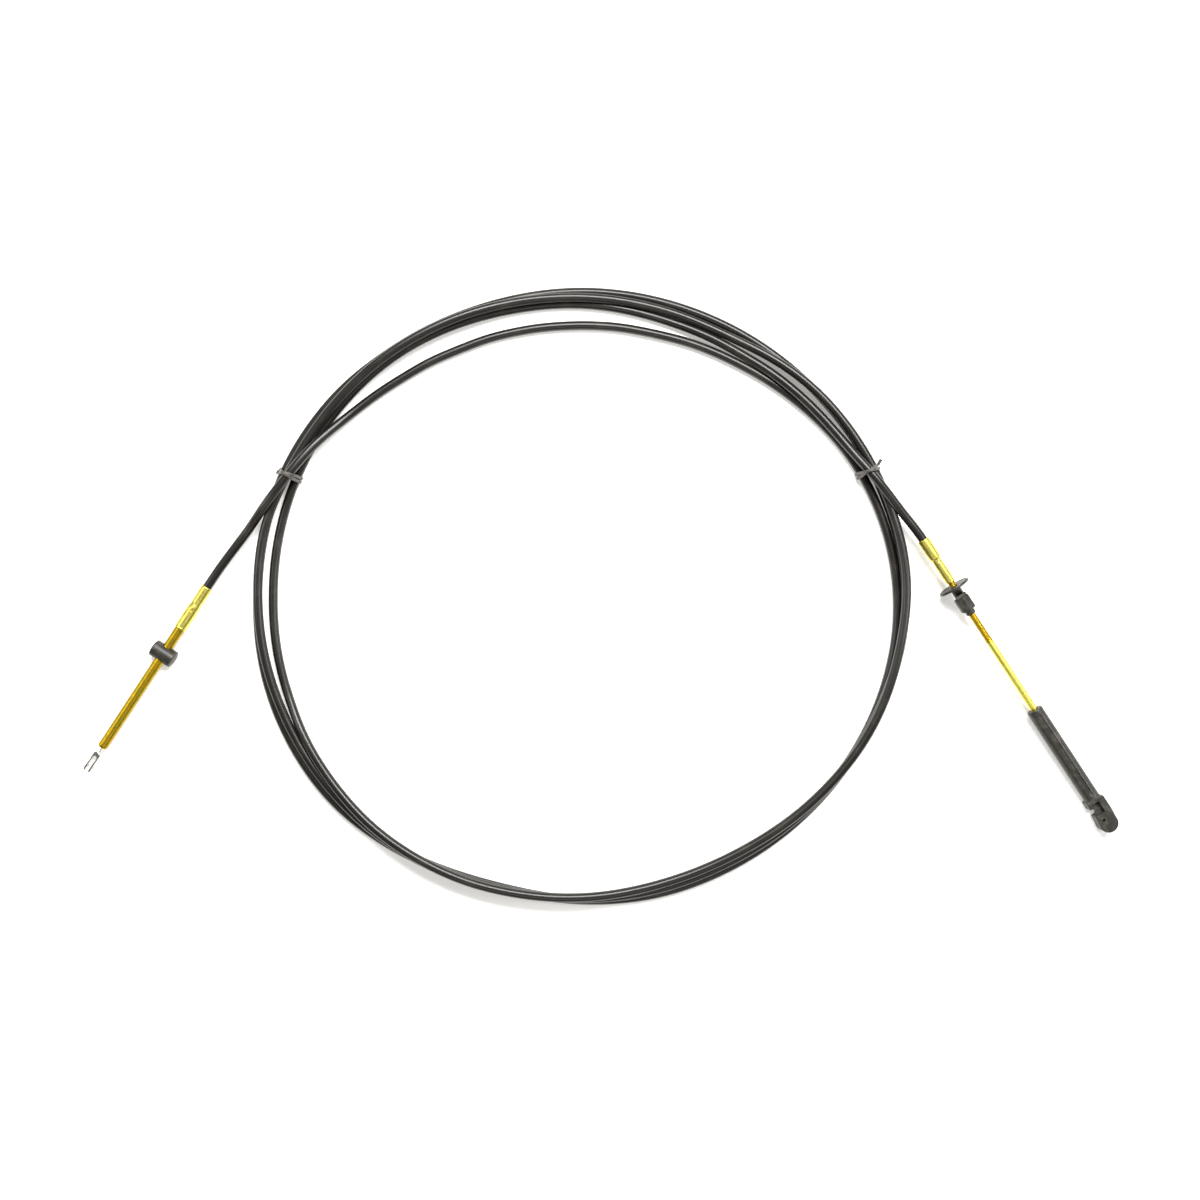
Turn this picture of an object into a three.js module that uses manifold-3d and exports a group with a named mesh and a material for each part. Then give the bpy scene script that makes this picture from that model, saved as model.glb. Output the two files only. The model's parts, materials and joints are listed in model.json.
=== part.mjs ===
// A boat's push-pull control cable: a long black jacketed cable wound in three loose turns and
// held by two ties, with the control-box end at the left and the engine end at the right.
// Millimetres, +Z up, lying on the floor plane z = 0, origin under the middle of the whole cable.
import * as THREE from 'three';
import { mergeVertices } from 'three/addons/utils/BufferGeometryUtils.js';
import Module from 'manifold-3d';

const wasm = await Module();
wasm.setup();

// Clearances
const touchGap = 0.3; // left between pieces that touch or slide on each other
const travel = 76; // of the core, so of the fork and of the guide
const degree = Math.PI / 180;

// Jacketed cable
const cableDia = 7.1;
const cableSides = 8;
const leadStep = 17; // length of one facet along a free stretch

// Coil of three turns: two lie on the ties, the third lies in the groove between them
const coilRadiusX = 248.8; // to the middle of the bundle
const coilRadiusY = 234.8;
const coilCentre = [-15.6, 0];
const coilSegments = 72;
const turnArcSteps = 6;
const grooveAngle = 22 * degree; // how far each turn's round stops short of its neighbour

// Ties
const tieThick = 0.8;
const tieWidth = 2.8;
const leftTieAngle = 157.5 * degree;
const rightTieAngle = 23.5 * degree;

// Control-box end, measured along its axis from the end of the jacket
const controlReach = 42.5; // how far outside the coil the jacket ends
const controlSeat = [coilCentre[0] - coilRadiusX - controlReach, 7.0];
const controlYaw = -123.5 * degree;
const controlDroop = 1.0 * degree;
const controlHubLength = 38.5;
const controlHubRadius = 4.25;
const controlHubBulge = 4.75;
const controlTubeRadius = 3.85;
const controlTubeEnd = 150.2;
const controlSocket = 10; // how far the tube sits in the hub
const barrelAt = 62.2;
const barrelRadius = 6.75;
const barrelLength = 19.05;
const barrelCorner = 1.2;
const controlRodRadius = 1.5;
const controlRodGuide = 19; // rod length that stays in the tube
const forkNeck = 4.5; // bare rod between the tube and the fork
const forkLength = 17.3;
const forkWidth = 6.0;
const forkHeight = 5.0;
const forkSlot = 2.8;
const forkWeb = 3.4; // solid root of the fork
const forkPinRadius = 1.1;

// Engine end, measured along its axis from the end of the jacket
const engineReach = 16.6; // how far outside the coil the jacket ends
const engineSeat = [coilCentre[0] + coilRadiusX + engineReach, 43.7];
const engineYaw = -56.5 * degree;
const engineHubStep = 18.7;
const engineHubLength = 39.5;
const engineHubRadius = 4.55;
const engineHubSmall = 3.75;
const engineHubTip = 3.45;
const engineSocket = 8;
const threadRadius = 2.75;
const threadEnd = 94;
const engineTubeRadius = 2.83;
const engineTubeEnd = 164.5;
const wheelAt = 43;
const wheelThick = 2;
const wheelRadius = 12.5;
const neckRadius = 4;
const neckLength = 8.2;
const neckSlotLength = 2.4;
const neckSlotDepth = 0.7;
const hexAcross = 11;
const hexLength = 12.2;
const collarRadius = 3.8;
const collarLength = 3.5;
const sleeveStart = 158.3;
const sleeveRadius = 6.3;
const headStart = 241.2;
const headHeight = 12;
const headHalfWidth = 7.4;
const notchStart = 247.3;
const notchLength = 6.6;
const notchFloor = -3.1; // side of the arm that closes the notch
const pocketLead = 3; // the pocket in the arm's top starts this far before the notch
const pocketSide = 1.8;
const pocketWidth = 5.9;
const pocketDepth = 4;
const bossAt = 263.5;
const bossOffset = -0.7; // the end boss sits towards the notch's side
const bossRadius = 7.5;
const eyeAt = 259.3;
const eyeOffset = -2.8;
const eyeRadius = 1.3;
const grooveWidth = 1.4;
const grooveDepth = 1.0;
const engineRodRadius = 1.2;
const engineRodStart = 156;
const engineRodSocket = 4; // how far the rod sits in the head

// Levels that the sizes above give
const floorLevel = cableDia / 2;
const coilBase = tieThick + touchGap;
const tieLevel = coilBase + floorLevel; // a strand lying on a tie
const turnHeight = cableDia * Math.sqrt(3) / 2; // rise from one layer of turns to the next
const coilTop = coilBase + cableDia + turnHeight;
const overCoil = coilTop + touchGap + cableDia / 2;

// Materials
const material = (color, roughness, metalness) =>
  new THREE.MeshStandardMaterial({ color, roughness, metalness });
const jacketBlack = () => material(0x2b2a27, 0.42, 0);
const tieBlack = () => material(0x33302c, 0.5, 0);
const goldZinc = () => material(0xd6be32, 0.32, 0.9);
const darkZinc = () => material(0x99761a, 0.38, 0.9);
const mouldedBlack = () => material(0x34322b, 0.5, 0);
const brightSteel = () => material(0xd8d8d4, 0.25, 1);

// Shape helpers
function turned(profile, segments = 24) {
  // profile holds [distance along the axis, radius] pairs; the axis becomes local +X
  const points = profile.map(([along, radius]) => new THREE.Vector2(radius, along));
  return new THREE.LatheGeometry(points, segments).rotateZ(-Math.PI / 2);
}

function box(length, width, height, x, y, z) {
  return new THREE.BoxGeometry(length, width, height).translate(x, y, z);
}

function solidOf(geometry) {
  const bare = geometry.clone();
  bare.deleteAttribute('normal');
  bare.deleteAttribute('uv');
  const merged = mergeVertices(bare, 1e-4);
  const mesh = new wasm.Mesh({
    numProp: 3,
    vertProperties: new Float32Array(merged.attributes.position.array),
    triVerts: new Uint32Array(merged.index.array),
  });
  mesh.merge();
  return new wasm.Manifold(mesh);
}

function geometryOf(solid) {
  const mesh = solid.getMesh();
  const geometry = new THREE.BufferGeometry();
  geometry.setAttribute('position', new THREE.Float32BufferAttribute(mesh.vertProperties, 3));
  geometry.setIndex(Array.from(mesh.triVerts));
  geometry.computeVertexNormals();
  return geometry;
}

function joined(first, ...others) {
  return others.reduce((solid, geometry) => solid.add(solidOf(geometry)), solidOf(first));
}

function cutAway(solid, ...tools) {
  return tools.reduce((left, geometry) => left.subtract(solidOf(geometry)), solid);
}

function namedMesh(name, geometry, finish) {
  const mesh = new THREE.Mesh(geometry, finish);
  mesh.name = name;
  return mesh;
}

// Coil: a turned ring whose section is three touching turns, made oval
function turnCentres() {
  const half = cableDia / 2;
  return [
    [-half, coilBase + half],
    [half, coilBase + half],
    [0, coilBase + half + turnHeight],
  ];
}

function coilGeometry() {
  const outline = [];
  turnCentres().forEach(([x, y], turn) => {
    const from = (60 + 120 * turn) * degree + grooveAngle;
    const to = (360 + 120 * turn) * degree - grooveAngle;
    for (let step = 0; step <= turnArcSteps; step++) {
      const angle = from + (to - from) * step / turnArcSteps;
      outline.push(new THREE.Vector2(
        coilRadiusX + x + cableDia / 2 * Math.cos(angle),
        y + cableDia / 2 * Math.sin(angle),
      ));
    }
  });
  outline.push(outline[0].clone());
  return new THREE.LatheGeometry(outline, coilSegments)
    .rotateX(Math.PI / 2)
    .scale(1, coilRadiusY / coilRadiusX, 1);
}

// Free stretches of the cable: a plain round section along hand-chosen points
function curveThrough(points) {
  const corners = points.map((point) => new THREE.Vector3(...point));
  return new THREE.CatmullRomCurve3(corners, false, 'centripetal');
}

function cableGeometry(points) {
  const curve = curveThrough(points);
  const section = new THREE.Shape();
  for (let side = 0; side < cableSides; side++) {
    const angle = 2 * Math.PI * side / cableSides;
    const x = cableDia / 2 * Math.cos(angle);
    const y = cableDia / 2 * Math.sin(angle);
    if (side === 0) section.moveTo(x, y);
    else section.lineTo(x, y);
  }
  section.closePath();
  const steps = Math.round(curve.getLength() / leadStep);
  return new THREE.ExtrudeGeometry(section, { steps, bevelEnabled: false, extrudePath: curve });
}

// A tie is a thin band drawn tight round the sections of cable that it holds
function convexHull(points) {
  const sorted = [...points].sort((a, b) => a[0] - b[0] || a[1] - b[1]);
  const turn = (o, a, b) => (a[0] - o[0]) * (b[1] - o[1]) - (a[1] - o[1]) * (b[0] - o[0]);
  const half = (list) => {
    const chain = [];
    for (const p of list) {
      while (chain.length > 1 && turn(chain.at(-2), chain.at(-1), p) <= 0) chain.pop();
      chain.push(p);
    }
    return chain.slice(0, -1);
  };
  return [...half(sorted), ...half(sorted.reverse())];
}

function bandOutline(centres, margin) {
  const points = [];
  const sides = 16;
  for (const [x, y] of centres) {
    for (let side = 0; side < sides; side++) {
      const angle = 2 * Math.PI * side / sides;
      const reach = cableDia / 2 + margin;
      points.push([x + reach * Math.cos(angle), y + reach * Math.sin(angle)]);
    }
  }
  return convexHull(points).map(([x, y]) => new THREE.Vector2(x, y));
}

function tieGeometry(centres) {
  const band = new THREE.Shape(bandOutline(centres, touchGap + tieThick));
  band.holes.push(new THREE.Path(bandOutline(centres, touchGap)));
  return new THREE.ExtrudeGeometry(band, { depth: tieWidth, steps: 1, bevelEnabled: false })
    .translate(0, 0, -tieWidth / 2)
    .rotateX(Math.PI / 2);
}

function coilPoint(angle) {
  return [
    coilCentre[0] + coilRadiusX * Math.cos(angle),
    coilCentre[1] + coilRadiusY * Math.sin(angle),
  ];
}

// Direction square to the coil, outward, at that point
function coilNormal(angle) {
  return Math.atan2(coilRadiusX * Math.sin(angle), coilRadiusY * Math.cos(angle));
}

// Where a free stretch passes through a tie, as centres in the tie's own plane
function passingCentres(points, angle) {
  const [x, y] = coilPoint(angle);
  const normal = coilNormal(angle);
  const nearby = tieWidth / 2 + cableDia / 5;
  const centres = [];
  for (const point of curveThrough(points).getPoints(600)) {
    const outward = (point.x - x) * Math.cos(normal) + (point.y - y) * Math.sin(normal);
    const along = (point.y - y) * Math.cos(normal) - (point.x - x) * Math.sin(normal);
    if (Math.abs(along) < nearby && Math.abs(outward) < 4 * cableDia) centres.push([outward, point.z]);
  }
  return centres;
}

// Control-box end: hub, tube, cross barrel and the sliding rod with its fork
function controlHub() {
  const socketStart = controlHubLength - controlSocket;
  const socketRadius = controlTubeRadius + touchGap;
  const mouthRadius = socketRadius + 0.45;
  return turned([
    [0, 0],
    [0, controlHubRadius - 0.3],
    [0.6, controlHubRadius],
    [13, controlHubRadius],
    [14.2, controlHubRadius - 0.15],
    [16, controlHubRadius - 0.15],
    [19, controlHubBulge - 0.15],
    [23, controlHubBulge],
    [28, controlHubBulge],
    [31, mouthRadius],
    [controlHubLength, mouthRadius],
    [controlHubLength, socketRadius],
    [socketStart, socketRadius],
    [socketStart, 0],
  ]);
}

function controlTube() {
  const start = controlHubLength - controlSocket + touchGap;
  const bore = controlRodRadius + touchGap;
  return turned([
    [start, bore],
    [start, controlTubeRadius],
    [controlTubeEnd - 0.6, controlTubeRadius],
    [controlTubeEnd, controlTubeRadius - 0.6],
    [controlTubeEnd, bore],
    [start, bore],
  ]);
}

function controlBarrel() {
  const half = barrelLength / 2;
  const body = turned([
    [-half, 0],
    [-half, barrelRadius - barrelCorner],
    [-half + barrelCorner * 0.3, barrelRadius - barrelCorner * 0.3],
    [-half + barrelCorner, barrelRadius],
    [half - barrelCorner, barrelRadius],
    [half - barrelCorner * 0.3, barrelRadius - barrelCorner * 0.3],
    [half, barrelRadius - barrelCorner],
    [half, 0],
  ], 32).rotateZ(Math.PI / 2).translate(barrelAt, 0, 0);
  const bore = turned([
    [barrelAt - 2 * barrelRadius, 0],
    [barrelAt - 2 * barrelRadius, controlTubeRadius + touchGap],
    [barrelAt + 2 * barrelRadius, controlTubeRadius + touchGap],
    [barrelAt + 2 * barrelRadius, 0],
  ]);
  return geometryOf(cutAway(solidOf(body), bore));
}

function controlFork() {
  const rodStart = controlTubeEnd - travel - controlRodGuide;
  const root = controlTubeEnd + forkNeck;
  const tip = root + forkLength;
  const half = forkWidth / 2;
  const rod = turned([
    [rodStart, 0],
    [rodStart, controlRodRadius],
    [root + forkWeb / 2, controlRodRadius],
    [root + forkWeb / 2, 0],
  ], 16);
  const outline = new THREE.Shape();
  outline.moveTo(root, -half * 0.6);
  outline.lineTo(root + 1.6, -half);
  outline.lineTo(tip - 1.2, -half);
  outline.lineTo(tip, -forkSlot / 2 - 0.4);
  outline.lineTo(tip, -forkSlot / 2);
  outline.lineTo(root + forkWeb, -forkSlot / 2);
  outline.lineTo(root + forkWeb, forkSlot / 2);
  outline.lineTo(tip, forkSlot / 2);
  outline.lineTo(tip, forkSlot / 2 + 0.4);
  outline.lineTo(tip - 1.2, half);
  outline.lineTo(root + 1.6, half);
  outline.lineTo(root, half * 0.6);
  outline.closePath();
  const fork = new THREE.ExtrudeGeometry(outline, { depth: forkHeight, bevelEnabled: false })
    .translate(0, 0, -forkHeight / 2);
  const pinHole = new THREE.CylinderGeometry(forkPinRadius, forkPinRadius, 2 * forkWidth, 16)
    .translate(tip - 4, 0, 0);
  return geometryOf(cutAway(joined(rod, fork), pinHole));
}

// Engine end: hub, threaded tube, thumbwheel trunnion, guide sleeve and its rod
function engineHub() {
  const socketStart = engineHubLength - engineSocket;
  const socketRadius = threadRadius + touchGap;
  return turned([
    [0, 0],
    [0, engineHubRadius - 0.3],
    [0.6, engineHubRadius],
    [engineHubStep - 1.2, engineHubRadius],
    [engineHubStep, engineHubSmall - 0.25],
    [engineHubStep + 1.8, engineHubSmall - 0.25],
    [engineHubStep + 3, engineHubSmall],
    [engineHubLength - 6, engineHubSmall],
    [engineHubLength, engineHubTip],
    [engineHubLength, socketRadius],
    [socketStart, socketRadius],
    [socketStart, 0],
  ]);
}

function engineTube() {
  const start = engineHubLength - engineSocket + touchGap;
  const bore = engineRodRadius + touchGap;
  return turned([
    [start, bore],
    [start, threadRadius],
    [threadEnd, threadRadius],
    [threadEnd + 0.4, engineTubeRadius],
    [engineTubeEnd, engineTubeRadius],
    [engineTubeEnd, bore],
    [start, bore],
  ]);
}

function trunnionWheel() {
  const neckStart = wheelAt + wheelThick;
  const hexStart = neckStart + neckLength;
  const collarStart = hexStart + hexLength;
  const end = collarStart + collarLength;
  const bore = threadRadius + touchGap;
  const hexCorner = hexAcross / 2 / Math.cos(30 * degree);
  const body = turned([
    [wheelAt, 0],
    [wheelAt, wheelRadius - 0.4],
    [wheelAt + 0.4, wheelRadius],
    [neckStart - 0.4, wheelRadius],
    [neckStart, wheelRadius - 0.4],
    [neckStart, neckRadius],
    [collarStart + 0.2, neckRadius],
    [collarStart + 0.2, collarRadius],
    [end, collarRadius],
    [end, 0],
  ], 40);
  const hex = new THREE.CylinderGeometry(hexCorner, hexCorner, hexLength, 6)
    .rotateZ(-Math.PI / 2)
    .translate((hexStart + collarStart) / 2, 0, 0);
  const hole = turned([
    [wheelAt - 1, 0],
    [wheelAt - 1, bore],
    [end + 1, bore],
    [end + 1, 0],
  ]);
  const slotLevel = neckRadius - neckSlotDepth + neckRadius;
  const slotX = hexStart - neckSlotLength / 2;
  const slots = [-1, 1].map((side) =>
    box(neckSlotLength, 2 * neckRadius, 2 * neckRadius, slotX, 0, side * slotLevel));
  return geometryOf(cutAway(joined(body, hex), hole, ...slots));
}

function engineGuide() {
  const bore = engineTubeRadius + touchGap;
  const rodHole = engineRodRadius + touchGap;
  const boreEnd = engineTubeEnd + travel + touchGap;
  const rodEnd = headStart + engineRodSocket;
  const sleeve = turned([
    [sleeveStart, 0],
    [sleeveStart, sleeveRadius - 0.5],
    [sleeveStart + 0.5, sleeveRadius],
    [headStart + 1, sleeveRadius],
    [headStart + 1, 0],
  ], 32);
  const head = new THREE.Shape();
  head.moveTo(headStart, -headHalfWidth);
  head.lineTo(notchStart, -headHalfWidth);
  head.lineTo(notchStart, notchFloor);
  head.lineTo(notchStart + notchLength, notchFloor);
  head.lineTo(notchStart + notchLength, bossOffset - bossRadius + 1);
  head.absarc(bossAt, bossOffset, bossRadius, -100 * degree, 100 * degree, false);
  head.lineTo(notchStart + notchLength, headHalfWidth);
  head.lineTo(headStart + 2, headHalfWidth);
  head.closePath();
  const headBlock = new THREE.ExtrudeGeometry(head, { depth: headHeight, bevelEnabled: false, curveSegments: 10 })
    .translate(0, 0, -headHeight / 2);
  const tubeBore = turned([
    [sleeveStart - 1, 0],
    [sleeveStart - 1, bore],
    [boreEnd, bore],
    [boreEnd, rodHole],
    [rodEnd + touchGap, rodHole],
    [rodEnd + touchGap, 0],
  ]);
  const eye = new THREE.CylinderGeometry(eyeRadius, eyeRadius, 2 * headHeight, 16)
    .rotateX(Math.PI / 2)
    .translate(eyeAt, eyeOffset, 0);
  const grooveLength = headStart - sleeveStart - 8;
  const groove = box(grooveLength, grooveWidth, 2 * grooveDepth,
    sleeveStart + 4 + grooveLength / 2, 0, sleeveRadius);
  const pocket = box(pocketLead + notchLength, pocketWidth, 2 * pocketDepth,
    notchStart + (notchLength - pocketLead) / 2, pocketSide - pocketWidth / 2, headHeight / 2);
  return geometryOf(cutAway(joined(sleeve, headBlock), tubeBore, eye, groove, pocket));
}

function engineRod() {
  const end = headStart + engineRodSocket;
  return turned([
    [engineRodStart, 0],
    [engineRodStart, engineRodRadius],
    [end, engineRodRadius],
    [end, 0],
  ], 16);
}

// Each end is built along local +X in a group that lies where the jacket ends
function endGroup(seat, level, yaw, droop) {
  const group = new THREE.Group();
  group.position.set(seat[0], seat[1], level);
  group.rotation.set(0, droop, yaw, 'ZYX');
  return group;
}

function pointAlong(seat, level, yaw, droop, distance) {
  return [
    seat[0] + distance * Math.cos(yaw) * Math.cos(droop),
    seat[1] + distance * Math.sin(yaw) * Math.cos(droop),
    level - distance * Math.sin(droop),
  ];
}

// The engine end tilts until both the wheel's rim and the end of the head touch the floor
const headTip = bossAt + bossRadius;
const engineDroop = Math.atan((wheelRadius - headHeight / 2) / (headTip - wheelAt - wheelThick));
const engineLevel = wheelRadius * Math.cos(engineDroop) + (wheelAt + wheelThick) * Math.sin(engineDroop);
// The control end lies on its cross barrel
const controlLevel = barrelRadius + barrelAt * Math.sin(controlDroop);

const onControl = (distance) =>
  pointAlong(controlSeat, controlLevel, controlYaw, controlDroop, distance);
const onEngine = (distance) =>
  pointAlong(engineSeat, engineLevel, engineYaw, engineDroop, distance);

// From the control hub over the coil at the left tie, round inside the top of the coil on the
// floor, and in against the coil's inner side at the right tie
const controlRun = [
  onControl(-touchGap),
  onControl(-16),
  [-280.0, 45.2, 10.6],
  [-265.0, 64.0, 13.6],
  [-254.5, 78.0, overCoil - 0.6],
  [-241.0, 95.0, overCoil],
  [-228.0, 112.4, overCoil],
  [-214.0, 126.4, 14.6],
  [-200.5, 138.0, 9.2],
  [-187.0, 149.2, 4.6],
  [-172.0, 160.4, floorLevel + 0.3],
  [-134.0, 183.6, floorLevel + 0.1],
  [-87.0, 202.5, floorLevel],
  [-50.0, 210.0, floorLevel],
  [-15.6, 212.2, floorLevel],
  [15.0, 210.6, floorLevel],
  [46.0, 204.4, floorLevel],
  [71.3, 197.9, floorLevel],
  [94.9, 188.3, floorLevel],
  [126.4, 166.2, floorLevel],
  [157.0, 142.2, floorLevel],
  [182.8, 115.9, floorLevel + 0.5],
  [196.4, 97.7, tieLevel],
  [206.4, 78.9, tieLevel],
];

// From the engine hub over the coil at the right tie and down beside the first run
const engineRun = [
  onEngine(-touchGap),
  onEngine(-15),
  [237.9, 58.5, 15.2],
  [229.9, 69.2, overCoil],
  [217.9, 85.0, overCoil],
  [206.0, 98.7, overCoil],
  [189.8, 118.6, overCoil],
  [176.4, 134.4, 15.2],
  [162.3, 149.3, 10.0],
  [154.8, 156.2, 5.2],
  [147.2, 162.8, floorLevel + 0.3],
  [131.5, 175.3, floorLevel],
];

function tieAt(name, angle, ...runs) {
  const [x, y] = coilPoint(angle);
  const passing = runs.flatMap((points) => passingCentres(points, angle));
  const tie = namedMesh(name, tieGeometry([...turnCentres(), ...passing]), tieBlack());
  tie.position.set(x, y, 0);
  tie.rotation.z = coilNormal(angle);
  return tie;
}

// Assembly
const cable = new THREE.Group();

const coil = namedMesh('cable_coil', coilGeometry(), jacketBlack());
coil.position.set(coilCentre[0], coilCentre[1], 0);
cable.add(coil);
cable.add(namedMesh('cable_run_control', cableGeometry(controlRun), jacketBlack()));
cable.add(namedMesh('cable_run_engine', cableGeometry(engineRun), jacketBlack()));

cable.add(tieAt('tie_left', leftTieAngle, controlRun));
cable.add(tieAt('tie_right', rightTieAngle, controlRun, engineRun));

const controlEnd = endGroup(controlSeat, controlLevel, controlYaw, controlDroop);
controlEnd.add(namedMesh('control_hub', controlHub(), goldZinc()));
controlEnd.add(namedMesh('control_tube', controlTube(), darkZinc()));
controlEnd.add(namedMesh('control_barrel', controlBarrel(), mouldedBlack()));
controlEnd.add(namedMesh('control_fork', controlFork(), brightSteel()));
cable.add(controlEnd);

const engineEnd = endGroup(engineSeat, engineLevel, engineYaw, engineDroop);
engineEnd.add(namedMesh('engine_hub', engineHub(), goldZinc()));
engineEnd.add(namedMesh('engine_tube', engineTube(), darkZinc()));
engineEnd.add(namedMesh('trunnion_wheel', trunnionWheel(), mouldedBlack()));
engineEnd.add(namedMesh('engine_guide', engineGuide(), mouldedBlack()));
engineEnd.add(namedMesh('engine_rod', engineRod(), brightSteel()));
cable.add(engineEnd);

export default cable;
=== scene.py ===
# A boat's push-pull control cable, coiled and tied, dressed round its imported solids.
# Sizes in the dictionaries are millimetres and degrees; Blender gets metres.
import json
import math
import bmesh
import bpy
import numpy as np
from mathutils import Matrix, Vector


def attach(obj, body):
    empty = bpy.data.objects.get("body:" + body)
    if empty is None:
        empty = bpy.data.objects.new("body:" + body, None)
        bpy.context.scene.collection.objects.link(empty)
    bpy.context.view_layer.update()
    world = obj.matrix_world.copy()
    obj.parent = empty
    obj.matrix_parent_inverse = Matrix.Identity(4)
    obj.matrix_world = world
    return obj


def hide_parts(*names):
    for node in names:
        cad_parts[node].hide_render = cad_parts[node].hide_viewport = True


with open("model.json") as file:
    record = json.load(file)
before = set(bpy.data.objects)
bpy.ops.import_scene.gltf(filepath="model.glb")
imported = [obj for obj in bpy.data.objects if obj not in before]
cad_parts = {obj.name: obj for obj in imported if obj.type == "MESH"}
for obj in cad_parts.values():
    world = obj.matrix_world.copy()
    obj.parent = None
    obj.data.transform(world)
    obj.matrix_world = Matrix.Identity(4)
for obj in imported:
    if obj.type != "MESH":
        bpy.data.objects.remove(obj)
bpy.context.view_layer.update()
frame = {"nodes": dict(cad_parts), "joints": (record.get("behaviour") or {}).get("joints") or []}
mm = 0.001
joints = {joint["name"]: joint for joint in frame["joints"]}


# Camera, straight over the middle of the coil
camera = {"over": (-0.8, -3.1), "height": 1177, "lens": 45.0}


def addCamera():
    data = bpy.data.cameras.new("camera")
    data.lens = camera["lens"]
    data.clip_start, data.clip_end = 0.05, 20
    shot = bpy.data.objects.new("camera", data)
    bpy.context.scene.collection.objects.link(shot)
    shot.location = Vector((*camera["over"], camera["height"])) * mm
    bpy.context.scene.camera = shot


addCamera()
print("camera placed")


# Where the two ends lie: each has its axis as local +X, from the end of the jacket outward
ends = {"controlSeat": (-306.9, 7.0, 7.836), "wheelAt": 44.0}


def endMatrix(origin, axis):
    along = Vector(axis).normalized()
    side = Vector((0, 0, 1)).cross(along).normalized()
    up = along.cross(side)
    turned = Matrix((along, side, up)).transposed().to_4x4()
    return Matrix.Translation(origin) @ turned


def placeEnds():
    wheel = joints["trunnion_turn"]
    engineAxis = Vector(wheel["axis"]).normalized()
    engineSeat = Vector(wheel["pos_m"]) - engineAxis * ends["wheelAt"] * mm
    controlSeat = Vector(ends["controlSeat"]) * mm
    return endMatrix(controlSeat, joints["fork_slide"]["axis"]), endMatrix(engineSeat, engineAxis)


controlEnd, engineEnd = placeEnds()


# Shader maths as expressions on sockets
class Wire:
    def __init__(self, tree, socket):
        self.tree = tree
        self.socket = socket

    def maths(self, operation, *values):
        return self.tree.node("ShaderNodeMath", {"operation": operation}, dict(enumerate(values)))

    def __add__(self, other):
        return self.maths("ADD", self, other)

    def __mul__(self, other):
        return self.maths("MULTIPLY", self, other)

    __radd__ = __add__
    __rmul__ = __mul__

    def ramp(self, low, high):
        settings = {"interpolation_type": "SMOOTHSTEP"}
        return self.tree.node("ShaderNodeMapRange", settings, {0: self, 1: low, 2: high})


class Finish:
    def __init__(self, name):
        self.material = bpy.data.materials.new(name)
        self.material.use_nodes = True
        self.nodes = self.material.node_tree.nodes
        self.links = self.material.node_tree.links
        self.shader = self.nodes["Principled BSDF"]

    def feed(self, socket, value):
        if isinstance(value, Wire):
            self.links.new(value.socket, socket)
        else:
            socket.default_value = value

    def node(self, kind, settings=None, sockets=None, output=0):
        made = self.nodes.new(kind)
        for name, value in (settings or {}).items():
            setattr(made, name, value)
        for key, value in (sockets or {}).items():
            self.feed(made.inputs[key], value)
        return Wire(self, made.outputs[output])

    def place(self):
        return self.node("ShaderNodeTexCoord", output="Object")

    def lengthwise(self, around, along):
        where = self.node("ShaderNodeTexCoord", output="UV")
        return self.node("ShaderNodeMapping", {}, {"Vector": where, "Scale": (around, along, 1)})

    def noise(self, where, scale, detail):
        sockets = {"Vector": where, "Scale": scale, "Detail": detail, "Roughness": 0.55}
        return self.node("ShaderNodeTexNoise", {}, sockets)

    def mix(self, factor, first, second):
        settings = {"data_type": "RGBA"}
        return self.node("ShaderNodeMix", settings, {0: factor, 6: first, 7: second}, output=2)

    def bump(self, height, distance, strength):
        sockets = {"Height": height, "Distance": distance, "Strength": strength}
        return self.node("ShaderNodeBump", {}, sockets)

    def surface(self, **sockets):
        names = {"color": "Base Color", "roughness": "Roughness", "metallic": "Metallic",
                 "normal": "Normal", "glow": "Emission Color", "glowStrength": "Emission Strength"}
        for key, value in sockets.items():
            self.feed(self.shader.inputs[names[key]], value)
        return self.material


def opaque(color):
    return (*color, 1)


# Jacket: black polyethylene, satin, with faint die lines along it and a little dust
jacket = {"color": (0.0075, 0.006, 0.0042), "dusty": (0.020, 0.017, 0.012), "gloss": 0.25,
          "dieLines": 9.0, "cloud": 55.0, "grain": 900.0, "relief": 0.00002}


def jacketFinish():
    look = Finish("jacket")
    lines = look.noise(look.lengthwise(jacket["dieLines"], 2.0), 4.0, 4.0)
    cloud = look.noise(look.place(), jacket["cloud"], 4.0)
    grain = look.noise(look.place(), jacket["grain"], 2.0)
    dust = cloud.ramp(0.5, 0.75)
    color = look.mix(dust, opaque(jacket["color"]), opaque(jacket["dusty"]))
    relief = lines * 0.6 + grain * 0.4
    return look.surface(color=color, roughness=jacket["gloss"] + 0.1 * cloud + 0.06 * lines,
                        normal=look.bump(relief, jacket["relief"], 0.5))


# Tie: soft dark plastic coating over wire
coating = {"color": (0.04, 0.035, 0.029), "rubbed": (0.10, 0.09, 0.077), "gloss": 0.42,
           "grain": 700.0, "relief": 0.00005}


def tieFinish():
    look = Finish("tie")
    grain = look.noise(look.place(), coating["grain"], 3.0)
    color = look.mix(grain.ramp(0.35, 0.7), opaque(coating["color"]), opaque(coating["rubbed"]))
    return look.surface(color=color, roughness=coating["gloss"] + 0.15 * grain,
                        normal=look.bump(grain, coating["relief"], 0.5))


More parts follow.
